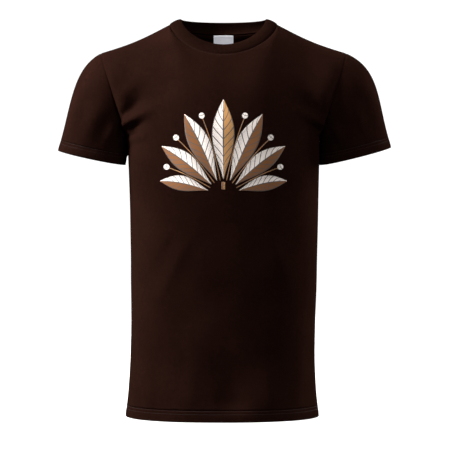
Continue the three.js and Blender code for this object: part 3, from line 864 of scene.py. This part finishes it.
def bead_faces(count):
    """The quads of each bead: its wall between rings and two quads over each end."""
    ends = np.array([[3, 2, 1, 0], [5, 4, 3, 0], [24, 25, 26, 27], [24, 27, 28, 29]])
    bead = np.concatenate([quads(5, 6, True), ends])
    return (bead[None] + 30 * np.arange(count)[:, None, None]).reshape(-1, 4)


def stitched(name, rows):
    """One object for all the rows of a seam."""
    beads = np.concatenate(rows)
    print(name, len(beads), "stitches")
    return make_mesh(name, (beads.reshape(-1, 3) + MOVED) * MM, bead_faces(len(beads)), BROWN_THREAD)


# %% The hems' stitches
def panel_line(side, angle, share):
    """A line across a body panel at a share of its height, with the normals there."""
    share = share + 0 * angle
    points = folded_panel(side, angle, share)
    across = folded_panel(side, angle + STEP, share) - points
    up = folded_panel(side, angle, share + STEP) - points
    return points, unit(np.cross(across, up)) * -side


def sleeve_line(sign, share):
    """A line round a sleeve at a share of its length, with the normals there."""
    turn, share = np.meshgrid(np.linspace(0, 2 * math.pi, 900), share + np.array([-0.004, 0.004]))
    across = sleeve_point(sign, turn + STEP, share) - sleeve_point(sign, turn - STEP, share)
    down = sleeve_point(sign, turn, share + STEP) - sleeve_point(sign, turn, share - STEP)
    height = sleeve_folds(turn, share) + underarm_press(sign, turn, share)
    points = sleeve_point(sign, turn, share) + unit(np.cross(across, down)) * -sign * height[..., None]
    normals = unit(np.cross(np.gradient(points, axis=1), points[1:] - points[:1])) * -sign
    return points.mean(0), normals[0]


side_to_side = np.linspace(-QUARTER + 0.01, QUARTER - 0.01, 900)
hem_shares = [at * HEM_WIDTH / ARMPIT_HEIGHT for at in HEM_STITCHES]
bottom_rows = [stitch_row(*panel_line(side, side_to_side, at)) for at in hem_shares for side in (-1, 1)]
bottom_stitches = stitched("bottom_hem_stitches", bottom_rows)
sleeve_stitches = []
for side, sign in SIDES.items():
    rows = [stitch_row(*sleeve_line(sign, 2 - at)) for at in HEM_STITCHES]
    sleeve_stitches.append(stitched(f"sleeve_hem_{side}_stitches", rows))

# %% [markdown]
# One row holds the collar's seam allowance flat, just below the rib. Another lies behind each shoulder
# seam, where a tape keeps it from stretching.

# %% The collar's and the shoulders' stitches
COLLAR_STITCH = 3.6


def below_neck(side, low, high):
    """A line on a body panel COLLAR_STITCH below its upper edge, with the normals there."""
    angle = np.linspace(low, high, 900)
    top = folded_panel(side, angle, 2 + 0 * angle)
    up = top - folded_panel(side, angle, 1.97 + 0 * angle)
    share = 2 - 0.03 * COLLAR_STITCH / np.linalg.norm(up, axis=-1)
    points = folded_panel(side, angle, share)
    across = folded_panel(side, angle + STEP, share) - points
    return points, unit(np.cross(across, up)) * -side


neck_rows = [stitch_row(*below_neck(side, -0.55, 0.55), pitch=2.8) for side in (-1, 1)]
collar_stitches = stitched("collar_stitches", neck_rows)
shoulder_spans = ((0.6, 1.53), (-1.53, -0.6))
shoulder_rows = [stitch_row(*below_neck(1, *span), pitch=2.8) for span in shoulder_spans]
shoulder_stitches = stitched("shoulder_stitches", shoulder_rows)

# %% [markdown]
# The print on the chest is a fan of seven leaves with berries between them, in brown and off-white
# with fine grey engraved lines. Screen-print ink lies on the cloth as a thin film, so each motif is
# a sheet of ink that follows the folded front. Each leaf has its own UV: across it from -1 to 1, and
# along it from 0 at its foot to 1 at its tip, in which the veins and the shading lines are drawn.

# %% The print's places
PRINT_FOOT = 392
LEAF_COUNT, SPREAD, CURL = 7, 72, 5  # the last two in degrees, for an outermost leaf
LEAF_START, MIDDLE_LEAF, SIDE_LEAF, SLIMNESS = 28, 165, 112, 0.115
INK_FOOT, INK_TOP = 0.10, 0.30  # the film's two faces, from the cloth's outer face


def chest_parameters(x, z):
    """The angle and share at which the front panel passes over x and z, found by repeated correction."""
    angle = np.arcsin(x / section_value(z, 1))
    share = np.where(z < ARMPIT_HEIGHT, z / ARMPIT_HEIGHT, 1 + (z - ARMPIT_HEIGHT) / 170)
    for _ in range(40):
        p = folded_panel(-1, angle, share)
        angle = angle + (x - p[..., 0]) / 180
        share = share + (z - p[..., 2]) / np.where(share < 1, 480, 260)
    return angle, share


def motif(name, material, degrees, reach, width, across=17):
    """A film of ink about a line in even steps from foot to tip: its bearing from upright, its reach from the
    spray's foot, and its half width, in millimetres."""
    turn, reach, width = (v[:, None] for v in np.broadcast_arrays(np.radians(degrees), reach, width))
    edge, t = np.meshgrid(np.linspace(-1, 1, across), np.linspace(0, 1, len(turn)))
    x = reach * np.sin(turn) + edge * width * np.cos(turn)
    z = PRINT_FOOT + reach * np.cos(turn) - edge * width * np.sin(turn)
    points = folded_panel(-1, *chest_parameters(x, z))
    uv = np.stack([edge, t], -1)
    return shell(name, points, JERSEY / 2 + INK_TOP, -JERSEY / 2 - INK_FOOT, material, uv=uv)


# %% [markdown]
# Plastisol ink is soft plastic that is pressed through a screen and baked, so it is opaque, hardly
# glossy and slightly grainy. Each leaf is drawn in two flat colours either side of its midrib. Veins
# and hatching are thresholds of a slanted sawtooth, and pinholes are a threshold of a fine noise.

# %% Ink
def ink(name, left, right, line="#57504c", veins=9.0):
    """Two flat colours with engraved lines, pinholes and wear; veins is their number along the motif."""
    material, node = new_material(name)
    split = node("SeparateXYZ", node("UVMap", uv_map="cloth"))
    place = node("TexCoord").outputs["Object"]
    edge, along = split.outputs[0], split.outputs[1]
    off = node("ABSOLUTE", edge)
    slant = node("MULTIPLY_ADD", off, -0.16, along)
    vein = node("FRACT", node("MULTIPLY", slant, veins))
    vein = node("ABSOLUTE", node("SUBTRACT", vein, 0.5))
    hatch = node("FRACT", node("MULTIPLY", slant, veins * 5))
    shade = node("MULTIPLY_ADD", off, 0.9, node("MULTIPLY", along, -0.55))
    lines = node("LESS_THAN", hatch, node("MULTIPLY", shade, 0.62))
    marks = ((vein, "LESS_THAN", 0.07), (off, "LESS_THAN", 0.06), (off, "GREATER_THAN", 0.93))
    for measure, operation, limit in marks:
        lines = node("MAXIMUM", lines, node(operation, measure, limit))
    pinholes = node("TexNoise", Vector=place, Scale=1 / (1.6 * MM), Detail=4.0, Roughness=0.7)
    half = node("GREATER_THAN", edge, 0.0)
    wear = node("GREATER_THAN", pinholes, 0.66)
    colour, skipped = linear(left), [None] * 5  # the Mix node's sockets for numbers and vectors
    for where, over in ((half, right), (lines, line), (wear, "#4a342c")):
        colour = node("Mix", where, *skipped, colour, linear(over), data_type="RGBA").outputs[2]
    grain = node("TexNoise", Vector=place, Scale=1 / (0.8 * MM), Roughness=0.6)
    bump = node("Bump", Height=grain, Distance=0.08 * MM)
    finish = {"Roughness": 0.62, "Specular_IOR_Level": 0.2}
    node("OutputMaterial", node("BsdfPrincipled", Base_Color=colour, Normal=bump, **finish))
    return material


BROWN, PALE, TAN = "#7c4f2b", "#ece1da", "#b3834f"
LEFT_INK = ink("brown and off-white screen print", BROWN, PALE)
RIGHT_INK = ink("off-white and brown screen print", PALE, BROWN)
MIDDLE_INK = ink("off-white and tan screen print", PALE, TAN)
STEM_INK = ink("brown screen print", BROWN, TAN, veins=3.0)
BERRY_INK = ink("off-white screen print", PALE, PALE, line="#8d8782", veins=1.0)


# %% Leaves, stem and berries
def fan_reach(place):
    """How far the fan reaches at a place in it, which is -1 at its left end and 1 at its right."""
    return lerp(MIDDLE_LEAF, SIDE_LEAF, abs(place) ** 1.5)


def leaf(k):
    """Leaf k of the fan: its width is a sine that peaks past its middle, and it curls away from upright."""
    place = 2 * k / (LEAF_COUNT - 1) - 1
    length, t = fan_reach(place), np.linspace(0, 1, 60)
    width = 0.6 + SLIMNESS * length * np.sin(np.pi * t**1.2)
    material = MIDDLE_INK if place == 0 else RIGHT_INK if place > 0 else LEFT_INK
    bearing = place * (SPREAD + CURL * t * t)
    return motif(f"print_leaf_{k + 1}_ink", material, bearing, lerp(LEAF_START, length, t), width)


def berry(k, radius=5.2):
    """A round spot between two leaves, with its stalk."""
    place = (2 * k + 1) / (LEAF_COUNT - 1) - 1
    aside = np.sign(place) * 3.2
    middle = 0.88 * fan_reach(place)
    t = np.linspace(-1, 1, 25)
    round_width = radius * np.sqrt(np.maximum(1 - t**2, 0.002))
    bearing = place * SPREAD
    spot = motif(f"print_berry_{k + 1}_ink", BERRY_INK, bearing + aside, middle + radius * t, round_width, 13)
    t = np.linspace(0, 1, 40)
    reach = lerp(LEAF_START - 2, middle - radius + 0.4, t)
    stalk = motif(f"print_stalk_{k + 1}_ink", STEM_INK, bearing + aside * t * t, reach, 0.75, 3)
    return [spot, stalk]


leaves = [leaf(k) for k in range(LEAF_COUNT)]
stem = motif("print_stem_ink", STEM_INK, 0.0, np.linspace(10, 23, 12), 3.2, 7)
berries = [piece for k in range(LEAF_COUNT - 1) for piece in berry(k)]
print(f"print: {len(leaves)} leaves and {len(berries) // 2} berries")

# %% [markdown]
# Stage, light and camera. The photograph is a studio shot on white: the camera is level with the
# middle of the shirt, and four soft boxes light it: the key from high on the left, a weak fill from the
# front, an edge light from behind on the right and one from the back. The paper has lamps of its own,
# which are its emission here. They are turned away from the shirt, so the paper is left out of what
# the shirt's own diffuse and glossy rays see.

# %% Floor, lights and camera
PIXELS = 450
SENSOR = 36.0
CAMERA_DISTANCE = 2900
FOCAL_PIXELS = CAMERA_DISTANCE / 1.8
CAMERA_X, CAMERA_HEIGHT = 2.7, 341


def stage_material():
    """White seamless paper, fully matt and evenly lit."""
    material, node = new_material("white seamless paper")
    cloudy = node("TexNoise", Vector=node("TexCoord").outputs["Object"], Scale=1 / (400 * MM))
    colour = node("ValToRGB", cloudy, stops=[(0.0, "#8a8a8a"), (1.0, "#8f8f8f")])
    lit = {"Emission_Color": linear("#ffffff"), "Emission_Strength": 0.92}
    node("OutputMaterial", node("BsdfPrincipled", Base_Color=colour, Roughness=0.95, **lit))
    return material


def paper_floor():
    """A dish of paper: flat out to 4.2 m, then it sweeps up all round in a quarter circle of radius 1 m."""
    bend = np.linspace(0, QUARTER, 12)
    reach = np.concatenate([[0.01, 1, 2, 3], 4.2 + np.sin(bend), [5.2]])
    height = np.concatenate([[0, 0, 0, 0], 1 - np.cos(bend), [6.0]])
    turn = np.linspace(0, 2 * math.pi, 64, endpoint=False)
    points = vec(reach[:, None] * np.cos(turn), reach[:, None] * np.sin(turn), height[:, None])
    paper = make_mesh("paper_floor", points.reshape(-1, 3), quads(len(reach), 64, True), stage_material())
    paper.visible_diffuse = paper.visible_glossy = False
    return paper


def area_light(name, place, target, size, power):
    """A square white soft box that faces its target and stays out of the picture."""
    light = bpy.data.lights.new(name, "AREA")
    light.size, light.energy = size, power
    box = bpy.data.objects.new(name, light)
    box.location = place
    box.rotation_euler = (Vector(target) - Vector(place)).to_track_quat("-Z", "Y").to_euler()
    box.visible_camera = False
    bpy.context.scene.collection.objects.link(box)


paper_floor()
area_light("key", (-2.1, -0.55, 1.95), (0, 0, 0.4), 1.0, 260)
area_light("fill", (1.3, -2.3, 1.9), (0, 0, 0.5), 1.0, 26)
area_light("edge", (2.4, 0.9, 1.2), (0, 0, 0.35), 1.0, 110)
area_light("back", (-0.6, 2.8, 1.6), (0, 0, 0.35), 1.2, 110)
world = bpy.data.worlds.new("studio")
bpy.context.scene.world = world
world.use_nodes = True
sky = world.node_tree.nodes["Background"].inputs
sky["Color"].default_value, sky["Strength"].default_value = (1, 1, 1, 1), 0.25
bpy.context.scene.view_settings.view_transform = "Standard"

camera = bpy.data.objects.new("camera", bpy.data.cameras.new("camera"))
camera.data.sensor_width = SENSOR
camera.data.lens = FOCAL_PIXELS * SENSOR / PIXELS
camera.location = ((MOVED[0] + CAMERA_X) * MM, (MOVED[1] - CAMERA_DISTANCE) * MM, CAMERA_HEIGHT * MM)
camera.rotation_euler = (QUARTER, 0, 0)
bpy.context.scene.collection.objects.link(camera)
bpy.context.scene.camera = camera
print("camera at", tuple(round(c, 3) for c in camera.location))

# %% [markdown]
# Each piece stands for its CAD node, or is only trim on one. All of it rides on the one body, because
# a shirt has no joint.

# %% What each piece stands for
CLOTHS = [
    (front, "front_panel", "jersey", (0.49, 0.68), 0.31),
    (back, "back_panel", "jersey", (0.49, 0.70), 0.31),
    (hem, "bottom_hem", "jersey", (0.96, 0.02), None),
    (sleeves["left"], "sleeve_left", "jersey", (0.40, 0.18), 0.041),
    (sleeves["right"], "sleeve_right", "jersey", (0.40, 0.18), 0.041),
    (sleeve_hems["left"], "sleeve_hem_left", "jersey", (0.36, 0.02), None),
    (sleeve_hems["right"], "sleeve_hem_right", "jersey", (0.36, 0.02), None),
    (collar_band, "collar_rib", "rib", (0.52, 0.023), None),
]
for piece, node, slot, cut, area in CLOTHS:
    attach(piece, "root")
    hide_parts(node)

TRIM = [(tape, "neck_tape", "tape"), (label, "neck_label", "label"), (stem, "print_stem", "brown_ink")]
for k, piece in enumerate(leaves):
    TRIM.append((piece, f"print_leaf_{k + 1}", "pale_ink" if k % 2 else "brown_ink"))
for piece, node, slot in TRIM:
    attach(piece, "root")
    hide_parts(node)

stitches = [bottom_stitches, collar_stitches, shoulder_stitches, *sleeve_stitches]
for pieces, slot in ((stitches, "jersey"), (berries, "pale_ink")):
    for piece in pieces:
        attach(piece, "root")
